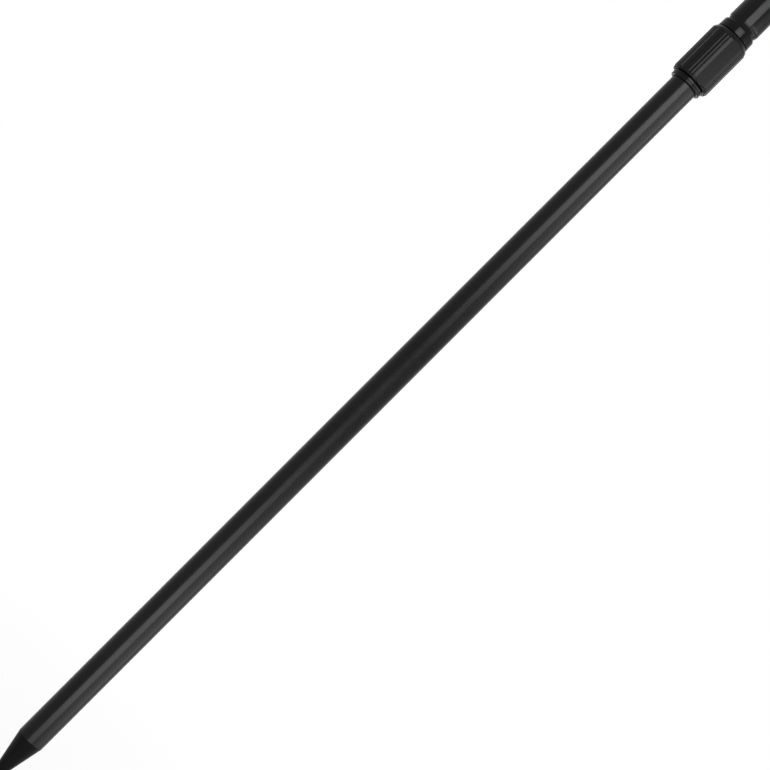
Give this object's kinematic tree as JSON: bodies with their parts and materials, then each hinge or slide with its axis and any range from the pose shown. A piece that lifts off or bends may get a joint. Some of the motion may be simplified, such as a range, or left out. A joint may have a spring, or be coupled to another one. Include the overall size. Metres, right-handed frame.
{
  "type": "bank stick",
  "caption": "Telescopic bank stick, closed: a slim pointed tube with a ribbed twist lock at its upper end and a turned head with a threaded socket for a rod rest.",
  "frame": {"origin": "tip of the point, on the axis of the stick", "axes": "+Z along the stick, from the point to the head; +X to the right and +Y away from a viewer who faces the side in the picture, so that the side that shows there faces -Y"},
  "size_m": [0.0237, 0.0237, 0.607],
  "materials": {
    "tube_black": "satin black anodised, drawn tube",
    "point_black": "black anodised over fine turning marks",
    "turned_black": "smooth black anodised, turned",
    "grip_black": "moulded, fine matt grain",
    "nut_black": "moulded, satin",
    "acetal": "turned natural acetal",
    "seal_rubber": "moulded rubber",
    "insert_brass": "machined"
  },
  "bodies": {
    "root": {"spike_point": "point_black", "outer_tube": "tube_black", "lock_gland": "turned_black", "collet": "acetal"},
    "clamp_ring": {"thrust_ring": "acetal"},
    "lock_nut": {"nut_core": "nut_black", "grip_sleeve": "grip_black", "wiper_seal": "seal_rubber"},
    "glide": {"glide_ring_lower": "acetal", "glide_ring_upper": "acetal"},
    "upper": {"tail_bush": "acetal", "inner_tube": "tube_black", "head": "turned_black", "thread_insert": "insert_brass"}
  },
  "joints": [
    {"name": "nut_rise", "type": "slide", "parent": "root", "child": "clamp_ring", "axis": [0, 0, 1], "range_m": [0, 0.00067]},
    {"name": "nut_turn", "type": "hinge", "parent": "clamp_ring", "child": "lock_nut", "pos_m": [0, 0, 0.545], "axis": [0, 0, 1], "range_deg": [0, 120]},
    {"name": "inner_slide", "type": "slide", "parent": "root", "child": "glide", "axis": [0, 0, 1], "range_m": [0, 0.408]},
    {"name": "inner_turn", "type": "hinge", "parent": "glide", "child": "upper", "pos_m": [0, 0, 0.3], "axis": [0, 0, 1], "continuous": true}
  ],
  "couplings": [
    {"joint": "nut_rise", "follows": "nut_turn", "m_per_rad": 0.00031831}
  ]
}
